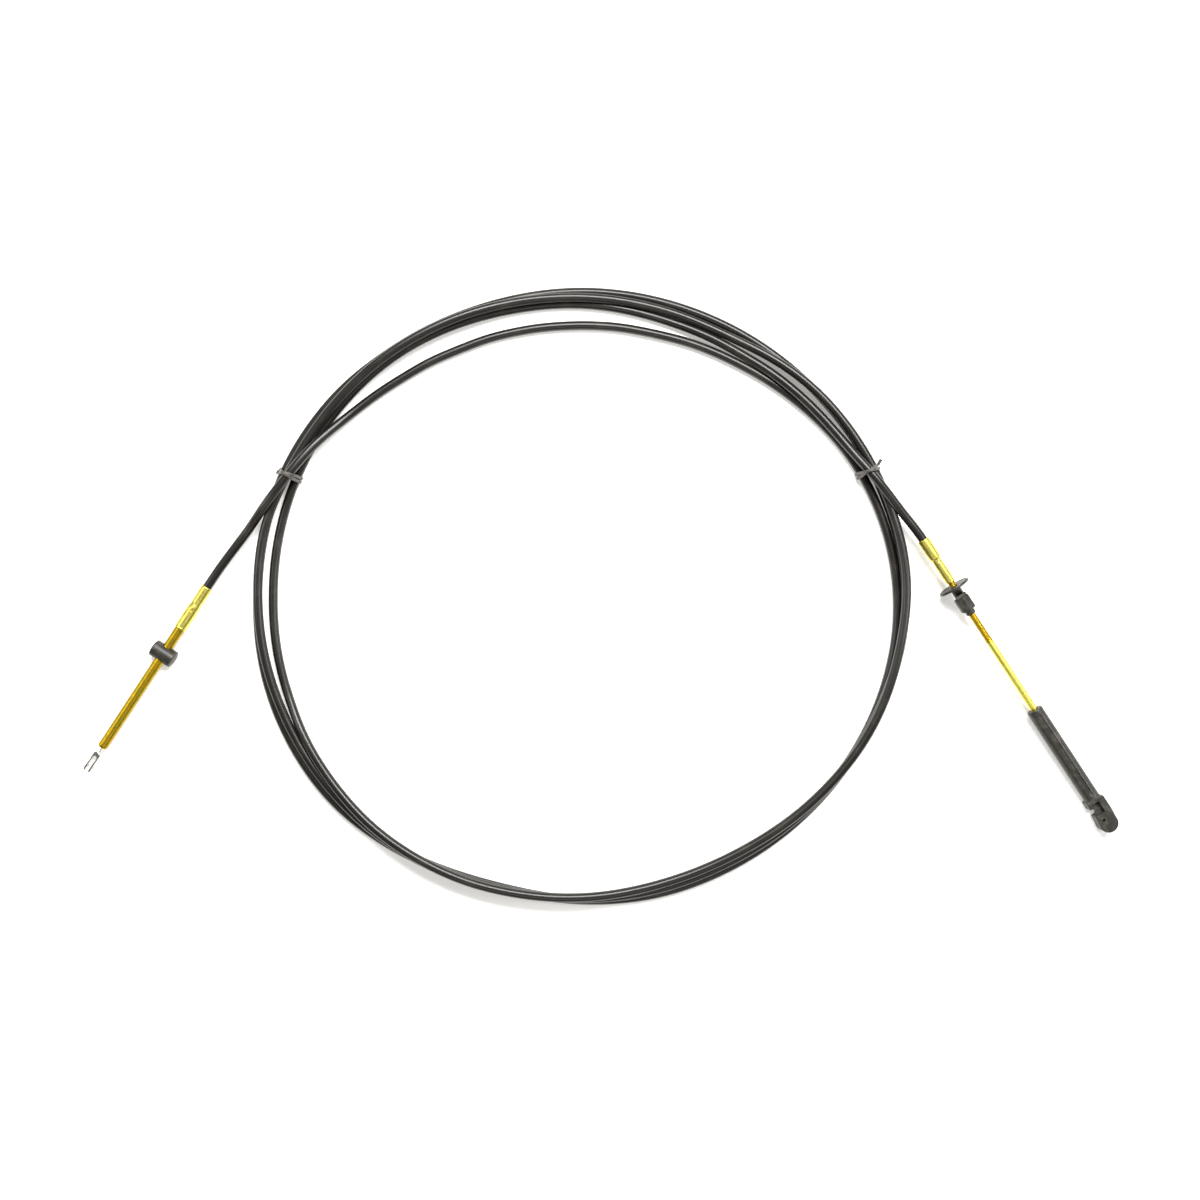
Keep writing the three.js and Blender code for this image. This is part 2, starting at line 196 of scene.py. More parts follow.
# Zinc plate with its yellow, olive and orange tints
zincRelief = 0.00008
zinc = {
    "gold": {"body": (0.78, 0.66, 0.14), "olive": (0.66, 0.62, 0.15), "orange": (0.70, 0.47, 0.05),
             "speckle": 0.35, "gloss": 0.28},
    "dark": {"body": (0.48, 0.31, 0.015), "olive": (0.36, 0.29, 0.02), "orange": (0.40, 0.19, 0.01),
             "speckle": 0.75, "gloss": 0.30},
    "pale": {"body": (0.80, 0.68, 0.13), "olive": (0.70, 0.68, 0.14), "orange": (0.76, 0.55, 0.07),
             "speckle": 0.3, "gloss": 0.26},
}


def zincColor(look, tone):
    tint = zinc[tone]
    wide = look.noise(look.place(), 210.0, 3.0)
    fine = look.noise(look.place(), 620.0, 4.0)
    color = look.mix(wide.ramp(0.42, 0.62), opaque(tint["body"]), opaque(tint["olive"]))
    color = look.mix(fine.ramp(0.52, 0.72), color, opaque(tint["orange"]))
    spots = look.noise(look.place(), 1500.0, 3.0).ramp(0.56, 0.7) * tint["speckle"]
    return look.mix(spots, color, opaque([part * 0.45 for part in tint["orange"]]))


def zincFinish(name, tone, farTone=None, changeAt=0.0):
    look = Finish(name)
    color = zincColor(look, tone)
    if farTone:
        # the tone changes where the UV's length passes changeAt
        along = look.node("ShaderNodeSeparateXYZ", {}, {0: look.lengthwise(1, 1)}, output=1)
        color = look.mix(along.ramp(changeAt, changeAt + 0.02), color, zincColor(look, farTone))
    scuffs = look.noise(look.lengthwise(30.0, 12.0), 6.0, 4.0)
    cloud = look.noise(look.place(), 300.0, 3.0)
    rough = zinc[tone]["gloss"] + 0.12 * cloud + 0.1 * scuffs
    return look.surface(color=color, metallic=1.0, roughness=rough,
                        normal=look.bump(scuffs * 0.5 + cloud, zincRelief, 0.4))


# Moulded black nylon with a fine spark-eroded grain
moulding = {"color": (0.018, 0.016, 0.0115), "worn": (0.055, 0.049, 0.038), "gloss": 0.36,
            "cloud": 160.0, "grain": 2600.0, "relief": 0.00005}


def mouldedFinish():
    look = Finish("moulded_black")
    cloud = look.noise(look.place(), moulding["cloud"], 4.0)
    grain = look.noise(look.place(), moulding["grain"], 2.0)
    color = look.mix(cloud.ramp(0.45, 0.75), opaque(moulding["color"]), opaque(moulding["worn"]))
    return look.surface(color=color, roughness=moulding["gloss"] + 0.16 * cloud,
                        normal=look.bump(grain, moulding["relief"], 0.45))


# Bright steel of the sliding rods and the fork
steel = {"bright": (0.82, 0.81, 0.77), "dull": (0.66, 0.65, 0.60), "gloss": 0.16,
         "relief": 0.00004}


def steelFinish():
    look = Finish("bright_steel")
    drawn = look.noise(look.lengthwise(40.0, 3.0), 5.0, 3.0)
    cloud = look.noise(look.place(), 400.0, 3.0)
    color = look.mix(cloud, opaque(steel["bright"]), opaque(steel["dull"]))
    return look.surface(color=color, metallic=1.0, roughness=steel["gloss"] + 0.14 * drawn,
                        normal=look.bump(drawn, steel["relief"], 0.3))


print("finishes ready")


# Mesh helpers. A turned piece's UV runs once round it, and one unit along it is uvLength.
sharpAngle = math.radians(38)
weldWithin = 0.0005
uvLength = 100


def newPiece(name, points, faces, finish, matrix, uvs=None):
    mesh = bpy.data.meshes.new(name)
    mesh.from_pydata([tuple(point) for point in points], [], faces)
    if uvs is not None:
        layer = mesh.uv_layers.new(name="UVMap")
        layer.data.foreach_set("uv", [part for face in uvs for pair in face for part in pair])
    welded = bmesh.new()
    welded.from_mesh(mesh)
    bmesh.ops.remove_doubles(welded, verts=welded.verts, dist=weldWithin)
    bmesh.ops.recalc_face_normals(welded, faces=welded.faces)
    welded.to_mesh(mesh)
    welded.free()
    mesh.shade_smooth()
    mesh.set_sharp_from_angle(angle=sharpAngle)
    mesh.materials.append(finish)
    mesh.transform(matrix @ Matrix.Scale(mm, 4))
    piece = bpy.data.objects.new(name, mesh)
    bpy.context.scene.collection.objects.link(piece)
    return piece


def loft(rings, closed=False):
    # rings of equal counts of points joined by quads, with a face on each end unless the
    # last ring joins the first; a cell is (left, low, right, high) in sides and rings
    count = len(rings[0])
    points = [point for ring in rings for point in ring]
    faces = []
    uvs = []
    spans = len(rings) if closed else len(rings) - 1
    for ring in range(spans):
        start, nextStart = ring * count, (ring + 1) % len(rings) * count
        for side in range(count):
            after = (side + 1) % count
            faces.append((start + side, start + after, nextStart + after, nextStart + side))
            uvs.append((side / count, ring, (side + 1) / count, ring + 1))
    if not closed:
        faces.append(tuple(range(count - 1, -1, -1)))
        faces.append(tuple(range(len(points) - count, len(points))))
    return points, faces, uvs


def rounded(profile, steps=3):
    # each entry is (along, radius) or (along, radius, fillet); a fillet rounds that corner
    out = []
    last = len(profile) - 1
    for index, corner in enumerate(profile):
        fillet = corner[2] if len(corner) > 2 else 0
        here = Vector(corner[:2])
        if not fillet or index in (0, last):
            out.append(here)
            continue
        back = Vector(profile[index - 1][:2]) - here
        ahead = Vector(profile[index + 1][:2]) - here
        start = here + back.normalized() * min(fillet, back.length * 0.45)
        stop = here + ahead.normalized() * min(fillet, ahead.length * 0.45)
        for step in range(steps + 1):
            t = step / steps
            out.append((1 - t) ** 2 * start + 2 * t * (1 - t) * here + t * t * stop)
    return out


def subdivided(profile, step):
    out = [profile[0]]
    for before, after in zip(profile, profile[1:]):
        pieces = max(1, math.ceil((after - before).length / step))
        out += [before.lerp(after, (k + 1) / pieces) for k in range(pieces)]
    return out


def turnedPiece(name, profile, finish, matrix, sides=48, step=None, relief=None, closed=False,
                turn=0.0):
    # a turned shape about local +X; relief(along, angle) is added to its radius
    line = rounded(profile)
    if step:
        line = subdivided(line, step)
    rings = []
    for along, radius in line:
        ring = []
        for side in range(sides):
            angle = turn + 2 * math.pi * side / sides
            reach = radius + (relief(along, angle) if relief and radius > 0.2 else 0)
            ring.append((along, reach * math.cos(angle), reach * math.sin(angle)))
        rings.append(ring)
    points, faces, cells = loft(rings, closed=closed)
    uvs = []
    for left, low, right, high in cells:
        bottom, top = line[low][0] / uvLength, line[high % len(line)][0] / uvLength
        uvs.append(((left, bottom), (right, bottom), (right, top), (left, top)))
    for face in faces[len(cells):]:
        uvs.append([(0.5, points[index][0] / uvLength) for index in face])
    return newPiece(name, points, faces, finish, matrix, uvs)


def extrudedPiece(name, outline, low, high, finish, matrix, bevel):
    # outline is in local X and Y; a bevel above zero rounds its two rims
    mesh = bmesh.new()
    floorRing = [mesh.verts.new((x, y, low)) for x, y in outline]
    face = mesh.faces.new(floorRing)
    grown = bmesh.ops.extrude_face_region(mesh, geom=[face])
    lifted = [item for item in grown["geom"] if isinstance(item, bmesh.types.BMVert)]
    bmesh.ops.translate(mesh, verts=lifted, vec=(0, 0, high - low))
    bmesh.ops.recalc_face_normals(mesh, faces=mesh.faces)
    if bevel:
        rims = [edge for edge in mesh.edges
                if abs(edge.verts[0].co.z - edge.verts[1].co.z) < 0.001]
        bmesh.ops.bevel(mesh, geom=rims, offset=bevel, segments=3, profile=0.6, affect="EDGES")
    data = bpy.data.meshes.new(name)
    mesh.to_mesh(data)
    mesh.free()
    points = [vertex.co.copy() for vertex in data.vertices]
    faces = [tuple(polygon.vertices) for polygon in data.polygons]
    bpy.data.meshes.remove(data)
    return newPiece(name, points, faces, finish, matrix)


def combine(piece, others, operation):
    for other in others:
        cut = piece.modifiers.new("cut", "BOOLEAN")
        cut.operation = operation
        cut.solver = "EXACT"
        cut.object = other
        bpy.context.view_layer.update()
        graph = bpy.context.evaluated_depsgraph_get()
        solid = bpy.data.meshes.new_from_object(piece.evaluated_get(graph))
        piece.modifiers.clear()
        old = piece.data
        piece.data = solid
        bpy.data.meshes.remove(old)
        bpy.data.objects.remove(other)
    piece.data.shade_smooth()
    piece.data.set_sharp_from_angle(angle=sharpAngle)
    return piece


def dress(piece, body, node):
    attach(piece, body)
    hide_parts(node)
    return piece


def arc(x, y, radius, start, stop, steps):
    spots = []
    for step in range(steps + 1):
        angle = math.radians(start + (stop - start) * step / steps)
        spots.append((x + radius * math.cos(angle), y + radius * math.sin(angle)))
    return spots


# The cable's route: a free stretch from the control end, three turns and a bit, and a free
# stretch to the engine end. Lanes give how far each turn runs outside the coil's oval.
cable = {
    "diameter": 7.1,
    "length": 5300,
    "ovalX": 248.8, "ovalY": 234.8, "centreX": -15.6,
    "sides": 20,
    "ringStep": 4.0,
    "turnStep": 3,
    "smoothPlan": 11.0, "smoothLevel": 13.0,
    "floorGap": 0.12,
    "tieAngles": (157.5, 23.5), "tieLift": 1.0, "tieSpread": 14,
    # points behind each hub on its axis, and how the height leaves that axis
    "leads": (0.3, 9, 18), "hubHold": 8, "hubEase": 75,
    # the two free stretches lie on the coil, the control one only left of onTopLeftOf
    "controlRank": 9, "engineRank": 8, "onTopLeftOf": -120, "swapAbove": 65,
    # a strand never rests on its own next stretch
    "ownStretch": 60,
}
controlStretch = [
    (-280.0, 45.2), (-265.0, 64.0), (-254.5, 78.0), (-241.0, 95.0), (-228.0, 112.4),
    (-214.0, 126.4), (-200.5, 138.0), (-187.0, 149.2), (-172.0, 160.4), (-134.0, 183.6),
    (-87.0, 202.5), (-50.0, 210.0), (-15.6, 212.2), (15.0, 210.6), (46.0, 204.4),
    (71.3, 197.9), (94.9, 188.3),
]
engineStretch = [
    (131.5, 175.3), (147.2, 162.8), (154.8, 156.2), (162.3, 149.3), (176.4, 134.4),
    (189.8, 118.6), (206.0, 98.7), (217.9, 85.0), (229.9, 69.2), (237.9, 58.5),
]
lanes = [
    [(54, -18.8), (40, -13.7), (30, -9.2), (20, -5.9), (7, -2.5), (-7, 0.0), (-23, 1.1), (-40, 2.4),
     (-60, 4.0), (-75, 5.0), (-90, 3.2), (-106, 0.6), (-112, 1.4), (-129, 6.5), (-142, 9.2),
     (-161, 7.6), (-180, 4.3)],
    [(180, 4.3), (154, 5.0), (141, 4.8), (128, 2.8), (110, 2.4), (90, 3.3), (60, 2.1), (40, 1.3),
     (20, 2.3), (0, 4.5), (-12, 3.3), (-23, 1.1), (-40, 0.1), (-60, -0.5), (-75, 0.6), (-90, 0.8),
     (-106, 0.6), (-112, 1.4), (-129, 3.7), (-142, 3.7), (-161, 2.7), (-180, 2.8)],
    [(180, 2.8), (168, 3.8), (154, 0.2), (128, 0.0), (110, -0.4), (90, -2.0), (73, -3.6),
     (60, -4.8), (50, -1.9), (40, 0.7), (20, 2.3), (4, 4.4), (-10, 1.8), (-23, 1.1), (-40, -2.2), (-60, -4.9),
     (-72, -4.3), (-90, -1.3), (-106, 0.6), (-112, 1.4), (-129, 0.8), (-142, -1.6), (-161, -5.2),
     (-180, -7.9)],
    [(180, -7.9), (167, -6.9), (154, -4.9), (141, -2.9), (128, -2.7), (110, -4.4), (90, -6.2),
     (73, -10.2), (56, -12.4)],
]


def betweenStations(stations, angle):
    # a smooth curve through the listed (angle, value) stations that never overshoots them
    xs = [-station[0] for station in stations]
    ys = [station[1] for station in stations]
    slopes = [(ys[k + 1] - ys[k]) / (xs[k + 1] - xs[k]) for k in range(len(xs) - 1)]
    leans = [slopes[0]]
    for before, after in zip(slopes, slopes[1:]):
        leans.append(0 if before * after <= 0 else 2 * before * after / (before + after))
    leans.append(slopes[-1])
    k = min(max(np.searchsorted(xs, -angle) - 1, 0), len(slopes) - 1)
    span = xs[k + 1] - xs[k]
    t = (-angle - xs[k]) / span
    return ((2 * t ** 3 - 3 * t ** 2 + 1) * ys[k] + (t ** 3 - 2 * t ** 2 + t) * span * leans[k]
            + (3 * t ** 2 - 2 * t ** 3) * ys[k + 1] + (t ** 3 - t ** 2) * span * leans[k + 1])


def spotOnCoil(angle, outward=0.0):
    turn = math.radians(angle)
    a, b = cable["ovalX"], cable["ovalY"]
    reach = a * b / math.hypot(b * math.cos(turn), a * math.sin(turn)) + outward
    return cable["centreX"] + reach * math.cos(turn), reach * math.sin(turn)


def routeInPlan():
    # (x, y, rank): where strands cross, the one of higher rank lies on the other
    leads, onTop, last = cable["leads"], cable["controlRank"], cable["engineRank"]
    controlLine = [controlEnd @ Vector((-back * mm, 0, 0)) / mm for back in leads]
    engineLine = [engineEnd @ Vector((-back * mm, 0, 0)) / mm for back in leads[::-1]]
    spots = [(point.x, point.y, onTop) for point in controlLine]
    spots += [(x, y, onTop if x < cable["onTopLeftOf"] else 0) for x, y in controlStretch]
    for turn, stations in enumerate(lanes):
        for angle in np.arange(stations[0][0], stations[-1][0], -cable["turnStep"]):
            # over the top, the last turn lies under the second turn's end, and beyond it on top
            rank = {2: 3, 3: 2}.get(turn, turn) if angle > cable["swapAbove"] else turn
            spots.append((*spotOnCoil(angle, betweenStations(stations, angle)), rank))
    spots += [(x, y, last) for x, y in engineStretch]
    spots += [(point.x, point.y, last) for point in engineLine]
    return np.array(spots)


def spacedOut(spots, step):
    run = np.concatenate([[0], np.cumsum(np.linalg.norm(np.diff(spots[:, :2], axis=0), axis=1))])
    count = int(run[-1] / step) + 1
    wanted = np.linspace(0, run[-1], count)
    return np.column_stack([np.interp(wanted, run, column) for column in spots.T])


def smoothed(values, spread, step):
    # a gaussian average along the route, mirrored through the two end points
    reach = int(4 * spread / step)
    weights = np.exp(-0.5 * (np.arange(-reach, reach + 1) * step / spread) ** 2)
    before = 2 * values[0] - values[reach:0:-1]
    after = 2 * values[-1] - values[-2:-reach - 2:-1]
    padded = np.concatenate([before, values, after])
    return np.convolve(padded, weights / weights.sum(), mode="valid")


def restingLevels(plan, ranks, step):
    # every strand lies on the floor, on a tie, or on the strands of lower rank that it crosses
    thick = cable["diameter"]
    ground = np.full(len(plan), thick / 2 + cable["floorGap"])
    for angle in cable["tieAngles"]:
        away = np.hypot(*(plan - spotOnCoil(angle)).T)
        ground += cable["tieLift"] * np.exp(-0.5 * (away / cable["tieSpread"]) ** 2)
    level = ground.copy()
    order = np.arange(len(plan))
    for rank in sorted(set(ranks)):
        for i in np.where(ranks == rank)[0]:
            gap = np.hypot(*(plan - plan[i]).T)
            apart = abs(order - i) * step > cable["ownStretch"]
            under = (ranks < rank) & (gap < thick) & apart
            if under.any():
                resting = level[under] + np.sqrt(thick ** 2 - gap[under] ** 2)
                level[i] = max(level[i], resting.max())
    return level


def easeIn(distance, reach):
    t = np.clip(distance / reach, 0, 1)
    return t * t * (3 - 2 * t)


def cableRoute():
    step = cable["ringStep"]
    spots = spacedOut(routeInPlan(), step)
    ranks = np.round(spots[:, 2])
    plan = np.column_stack([smoothed(spots[:, k], cable["smoothPlan"], step) for k in (0, 1)])
    level = restingLevels(plan, ranks, step)
    held = np.array([level[max(0, i - 2):i + 3].max() for i in range(len(level))])
    level = smoothed(held, cable["smoothLevel"], step)
    run = np.arange(len(plan)) * step
    for distance, end in ((run, controlEnd), (run[::-1], engineEnd)):
        hub = end.translation.z / mm - end.col[0].z * distance
        share = easeIn(distance - cable["hubHold"], cable["hubEase"])
        level = hub * (1 - share) + level * share
    return np.column_stack([plan, level])


def tube(name, route, halves, finish, sides, reference):
    # an oval tube round a route in mm, its first half size lying along the reference
    # direction; its UV runs round it and along it in metres
    route = [Vector(point) for point in route]
    rings = []
    runs = [0.0]
    for index, point in enumerate(route):
        along = (route[min(index + 1, len(route) - 1)] - route[max(index - 1, 0)]).normalized()
        wide = (reference - along * reference.dot(along)).normalized()
        high = along.cross(wide)
        rings.append([point + halves[0] * math.cos(a) * wide + halves[1] * math.sin(a) * high
                      for a in (2 * math.pi * k / sides for k in range(sides))])
        if index:
            runs.append(runs[-1] + (point - route[index - 1]).length)
    points, faces, cells = loft(rings)
    uvs = []
    for left, low, right, top in cells:
        start, stop = runs[low] * mm, runs[top] * mm
        uvs.append(((left, start), (right, start), (right, stop), (left, stop)))
    for face in faces[len(cells):]:
        uvs.append([(0.5, 0.0)] * len(face))
    return newPiece(name, points, faces, finish, Matrix.Identity(4), uvs)


def makeCable():
    route = cableRoute()
    halves = (cable["diameter"] / 2, cable["diameter"] / 2)
    piece = tube("control_cable", route, halves, jacketFinish(), cable["sides"], Vector((0, 0, 1)))
    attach(piece, "cable")
    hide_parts("cable_coil", "cable_run_control", "cable_run_engine")
    return route


route = makeCable()
print("cable laid")


# Ties: flat coated wire wound twice round the bundle, crossing on top, its tails tucked in
ties = {
    "halfWidth": 1.25, "halfThick": 0.6, "gap": 0.1, "spread": 1.5, "pointsPerWrap": 60,
    "sides": 16, "slice": 4.5, "bundleReach": 30, "floorGap": 0.05,
    # where on its way round the second wrap climbs over the first, and how far
    "crossing": (0.08, 0.34), "crossingLift": 2.1,
    "tailBend": 0.45, "tuckedEnd": (1.2, 0.6, 0.4),
    "left": {"node": "tie_left", "angle": cable["tieAngles"][0], "tail": (0.6, -1.5, 1.0)},
    "right": {"node": "tie_right", "angle": cable["tieAngles"][1], "tail": (3.6, 2.6, 1.4)},
}


def bundleAt(angle):
    # centres of the strands where they pass the tie, as (outward, up) in the tie's plane
    x, y = spotOnCoil(angle)
    turn = math.radians(angle)
    normal = math.atan2(cable["ovalX"] * math.sin(turn), cable["ovalY"] * math.cos(turn))
    out = (route[:, 0] - x) * math.cos(normal) + (route[:, 1] - y) * math.sin(normal)
    along = (route[:, 1] - y) * math.cos(normal) - (route[:, 0] - x) * math.sin(normal)
    near = (abs(along) < ties["slice"]) & (abs(out) < ties["bundleReach"])
    centres = [Vector((a, b)) for a, b in zip(out[near], route[near, 2])]
    return centres, Vector((x, y, 0)), normal


def hullOf(points):
    cloud = sorted((point.x, point.y) for point in points)

    def chain(items):
        kept = []
        for p in items:
            while len(kept) > 1 and ((kept[-1][0] - kept[-2][0]) * (p[1] - kept[-2][1])
                                     - (kept[-1][1] - kept[-2][1]) * (p[0] - kept[-2][0])) <= 0:
                kept.pop()
            kept.append(p)
        return kept[:-1]

    return [Vector(p) for p in chain(cloud) + chain(cloud[::-1])]


def wrapOutline(centres, reach, count):
    swept = [centre + reach * Vector((math.cos(a), math.sin(a)))
             for centre in centres for a in (2 * math.pi * k / 24 for k in range(24))]
    ring = hullOf(swept)
    start = max(range(len(ring)), key=lambda k: ring[k].x)
    ring = ring[start:] + ring[:start + 1]
    lengths = np.cumsum([0] + [(b - a).length for a, b in zip(ring, ring[1:])])
    wanted = np.linspace(0, lengths[-1], count, endpoint=False)
    xs = np.interp(wanted, lengths, [point.x for point in ring])
    ys = np.interp(wanted, lengths, [point.y for point in ring])
    return list(zip(xs, ys))


def makeTie(spec, finish):
    centres, seat, normal = bundleAt(spec["angle"])
    count = ties["pointsPerWrap"]
    thick = ties["halfThick"]
    crossStart, crossLength = ties["crossing"]
    ring = wrapOutline(centres, cable["diameter"] / 2 + thick + ties["gap"], count)
    path = []
    for wrap in (0, 1):
        for k in range(count):
            u = k / count
            along = ties["spread"] * math.cos(2 * math.pi * min(u, 0.5)) * (1 - 2 * wrap)
            x, y = ring[k]
            if wrap and crossStart < u < crossStart + crossLength:
                climb = math.sin(math.pi * (u - crossStart) / crossLength) ** 2
                y += ties["crossingLift"] * thick * climb
            path.append(Vector((x, along, max(y, thick + ties["floorGap"]))))
    # the first end stands off the bundle's outer side as a short tail
    tail = Vector(spec["tail"])
    tucked = path[0] + Vector(ties["tuckedEnd"])
    path = [path[0] + tail, path[0] + tail * ties["tailBend"]] + path + [tucked]
    turn = Matrix.Translation(seat) @ Matrix.Rotation(normal, 4, "Z")
    piece = tube(spec["node"] + "_wire", [turn @ point for point in path],
                 (ties["halfWidth"], thick), finish, ties["sides"],
                 turn.to_3x3() @ Vector((0, 1, 0)))
    return dress(piece, "cable", spec["node"])


tieWire = tieFinish()
makeTie(ties["left"], tieWire)
makeTie(ties["right"], tieWire)
print("ties wound")


# Control-box end
control = {
    "hubLength": 38.5, "hubRadius": 4.25, "bulge": 4.75, "bore": 4.15, "wall": 0.45,
    "groove": 0.15, "jacketBore": 3.4, "socketDepth": 9,
    "tubeRadius": 3.85, "tubeEnd": 150.2, "tubeStart": 28.8, "tubeBore": 1.8,
    "barrelAt": 62.2, "barrelRadius": 6.75, "barrelLength": 19.05, "barrelCorner": 1.1,
    "barrelDish": 4.6, "barrelHole": (30, 90),
    "rodRadius": 1.5, "rodStart": 55.2, "forkRoot": 154.7, "forkTip": 172.0,
    "forkWidth": 6.0, "forkHeight": 5.0, "forkSlot": 2.8, "forkWeb": 3.4, "forkPin": 1.1,
    "pinBack": 4,
    "crimpAt": 15.0, "crimpSpread": 2.0, "flatDepth": 0.12,
    "secondCrimp": 21.5, "secondSpread": 1.1, "dimpleDepth": 0.35,
}


def crimped(along, angle):
    # six flats pressed in at the first crimp, and a ring of small dimples at the second
    c = control
    first = math.exp(-((along - c["crimpAt"]) / c["crimpSpread"]) ** 2)
    second = math.exp(-((along - c["secondCrimp"]) / c["secondSpread"]) ** 2)
    flats = 0.5 + 0.5 * math.cos(6 * angle)
    dimples = max(0, math.cos(4 * angle + 0.6)) ** 6
    return -c["flatDepth"] * first * flats - c["dimpleDepth"] * second * dimples


def makeControlHub(finish):
    c = control
    radius, end, bore = c["hubRadius"], c["hubLength"], c["bore"]
    mouth, groove, ledge = bore + c["wall"], radius - c["groove"], end - c["socketDepth"]
    profile = [
        (0, c["jacketBore"]), (0, radius - 0.1, 0.3), (0.7, radius + 0.1, 0.3), (13, radius, 0.6),
        (14.3, groove, 0.5), (15.8, groove, 0.5), (19, c["bulge"] - 0.15, 1), (28, c["bulge"], 1),
        (31, mouth, 1), (37.2, mouth, 0.3), (37.5, mouth + 0.15, 0.2), (end, mouth + 0.1, 0.3),
        (end, bore, 0.1), (ledge, bore), (ledge, c["jacketBore"]),
    ]
    piece = turnedPiece("control_hub_shell", profile, finish, controlEnd, 64, 0.5, crimped,
                        closed=True)
    return dress(piece, "cable", "control_hub")


def makeControlTube(finish):
    c = control
    profile = [
        (c["tubeStart"], c["tubeBore"]), (c["tubeStart"], c["tubeRadius"], 0.3),
        (c["tubeEnd"] - 1.2, c["tubeRadius"], 0.8), (c["tubeEnd"], c["tubeRadius"] - 0.9, 0.5),
        (c["tubeEnd"], c["tubeBore"] + 0.3, 0.2), (c["tubeEnd"] - 0.6, c["tubeBore"]),
    ]
    piece = turnedPiece("control_tube_skin", profile, finish, controlEnd, 48, 2.0, closed=True)
    return dress(piece, "cable", "control_tube")


def makeControlBarrel(finish):
    c = control
    half, radius, corner = c["barrelLength"] / 2, c["barrelRadius"], c["barrelCorner"]
    dish, shoulder = c["barrelDish"], radius - corner * 0.3
    profile = [
        (-half, 0), (-half, dish - 0.2, 0.2), (-half + 0.25, dish, 0.2),
        (-half + 0.1, radius - corner, 0.4), (-half + corner * 0.4, shoulder, 0.4),
        (-half + corner, radius, 0.5), (half - corner, radius, 0.5),
        (half - corner * 0.4, shoulder, 0.4), (half - 0.1, radius - corner, 0.4),
        (half - 0.25, dish, 0.2), (half, dish - 0.2, 0.2), (half, 0),
    ]
    across = (controlEnd @ Matrix.Translation((c["barrelAt"] * mm, 0, 0))
              @ Matrix.Rotation(math.pi / 2, 4, "Z"))
    piece = turnedPiece("control_barrel_moulding", profile, finish, across, 64)
    start, stop = c["barrelHole"]
    bore = [(start, 0), (start, c["bore"]), (stop, c["bore"]), (stop, 0)]
    hole = turnedPiece("hole", bore, finish, controlEnd, 48)
    combine(piece, [hole], "DIFFERENCE")
    return dress(piece, "cable", "control_barrel")


def makeControlFork(finish):
    c = control
    root, tip, half, slot = c["forkRoot"], c["forkTip"], c["forkWidth"] / 2, c["forkSlot"] / 2
    web = root + c["forkWeb"]
    outline = [(root, -half * 0.6), (root + 1.6, -half), (tip - 1.4, -half), (tip, -slot - 0.5)]
    outline += [(tip, -slot), (web + slot, -slot)] + arc(web + slot, 0, slot, 262, 98, 8)
    outline += [(web + slot, slot), (tip, slot), (tip, slot + 0.5), (tip - 1.4, half)]
    outline += [(root + 1.6, half), (root, half * 0.6)]
    high = c["forkHeight"] / 2
    piece = extrudedPiece("control_fork_steel", outline, -high, high, finish, controlEnd, 0.3)
    start, stop, radius = c["rodStart"], root + 1.4, c["rodRadius"]
    rodLine = [(start, 0), (start, radius, 0.3), (stop, radius), (stop, 0)]
    rod = turnedPiece("rod", rodLine, finish, controlEnd, 32)
    combine(piece, [rod], "UNION")
    across = (controlEnd @ Matrix.Translation(((tip - c["pinBack"]) * mm, 0, 0))
              @ Matrix.Rotation(math.pi / 2, 4, "Z"))
    pinLine = [(-9, 0), (-9, c["forkPin"]), (9, c["forkPin"]), (9, 0)]
    pin = turnedPiece("pin", pinLine, finish, across, 24)
    combine(piece, [pin], "DIFFERENCE")
    return dress(piece, "fork", "control_fork")


# the engine tube is dark as far as its thread runs, and pale beyond it
threadEnd = 94
goldZinc = zincFinish("gold_zinc", "gold")
darkZinc = zincFinish("dark_zinc", "dark")
threadZinc = zincFinish("thread_zinc", "dark", "pale", threadEnd / uvLength)
mouldedBlack = mouldedFinish()
brightSteel = steelFinish()
makeControlHub(goldZinc)
makeControlTube(darkZinc)
makeControlBarrel(mouldedBlack)
makeControlFork(brightSteel)
print("control end dressed")


# Engine end
engine = {
    "hubStep": 18.7, "hubLength": 39.5, "hubRadius": 4.55, "hubSmall": 3.75, "hubTip": 3.45,
    "hubBore": 3.05, "socket": 31.5, "jacketBore": 3.0,
    "crimpAt": 15.5, "crimpSpread": 2.2, "flatDepth": 0.2,
    "threadRadius": 2.75, "threadEnd": threadEnd, "pitch": 1.27, "threadDepth": 0.36,
    "threadRunout": 0.8, "threadStep": 0.16,
    "tubeRadius": 2.83, "tubeEnd": 164.5, "tubeStart": 31.8, "tubeBore": 1.5,
    "wheelAt": 43, "wheelThick": 2, "wheelRadius": 12.5, "neckRadius": 4.0, "hexStart": 53.2,
    "hexAcross": 11, "hexEnd": 65.4, "collarRadius": 3.8, "collarEnd": 68.9, "wheelBore": 3.05,
    "slotLength": 2.4, "slotDepth": 0.7, "hexEdge": 0.3,
    "sleeveStart": 158.3, "sleeveRadius": 6.3, "headStart": 241.2, "headHeight": 12.0,
    "grooveInset": (5, 3), "grooveDepth": 0.9, "grooveHalf": 0.85, "grooveEase": 1.5,
    "headHalf": 7.4, "heelRadius": 1.6, "headEdge": 0.7,
    "notchStart": 247.3, "notchLength": 6.6, "notchFloor": -3.1, "notchCorner": 1.2,
    "pocketLead": 3.0, "pocketSide": 1.8, "pocketWidth": 5.9, "pocketDepth": 4.0,
    "bossAt": 263.5, "bossOffset": -0.7, "bossRadius": 7.5,
    "eyeAt": 259.3, "eyeOffset": -2.8, "eyeRadius": 1.3,
    "guideBore": 3.13, "boreEnd": 240.8, "rodHole": 1.5, "rodHoleEnd": 245.5,
}


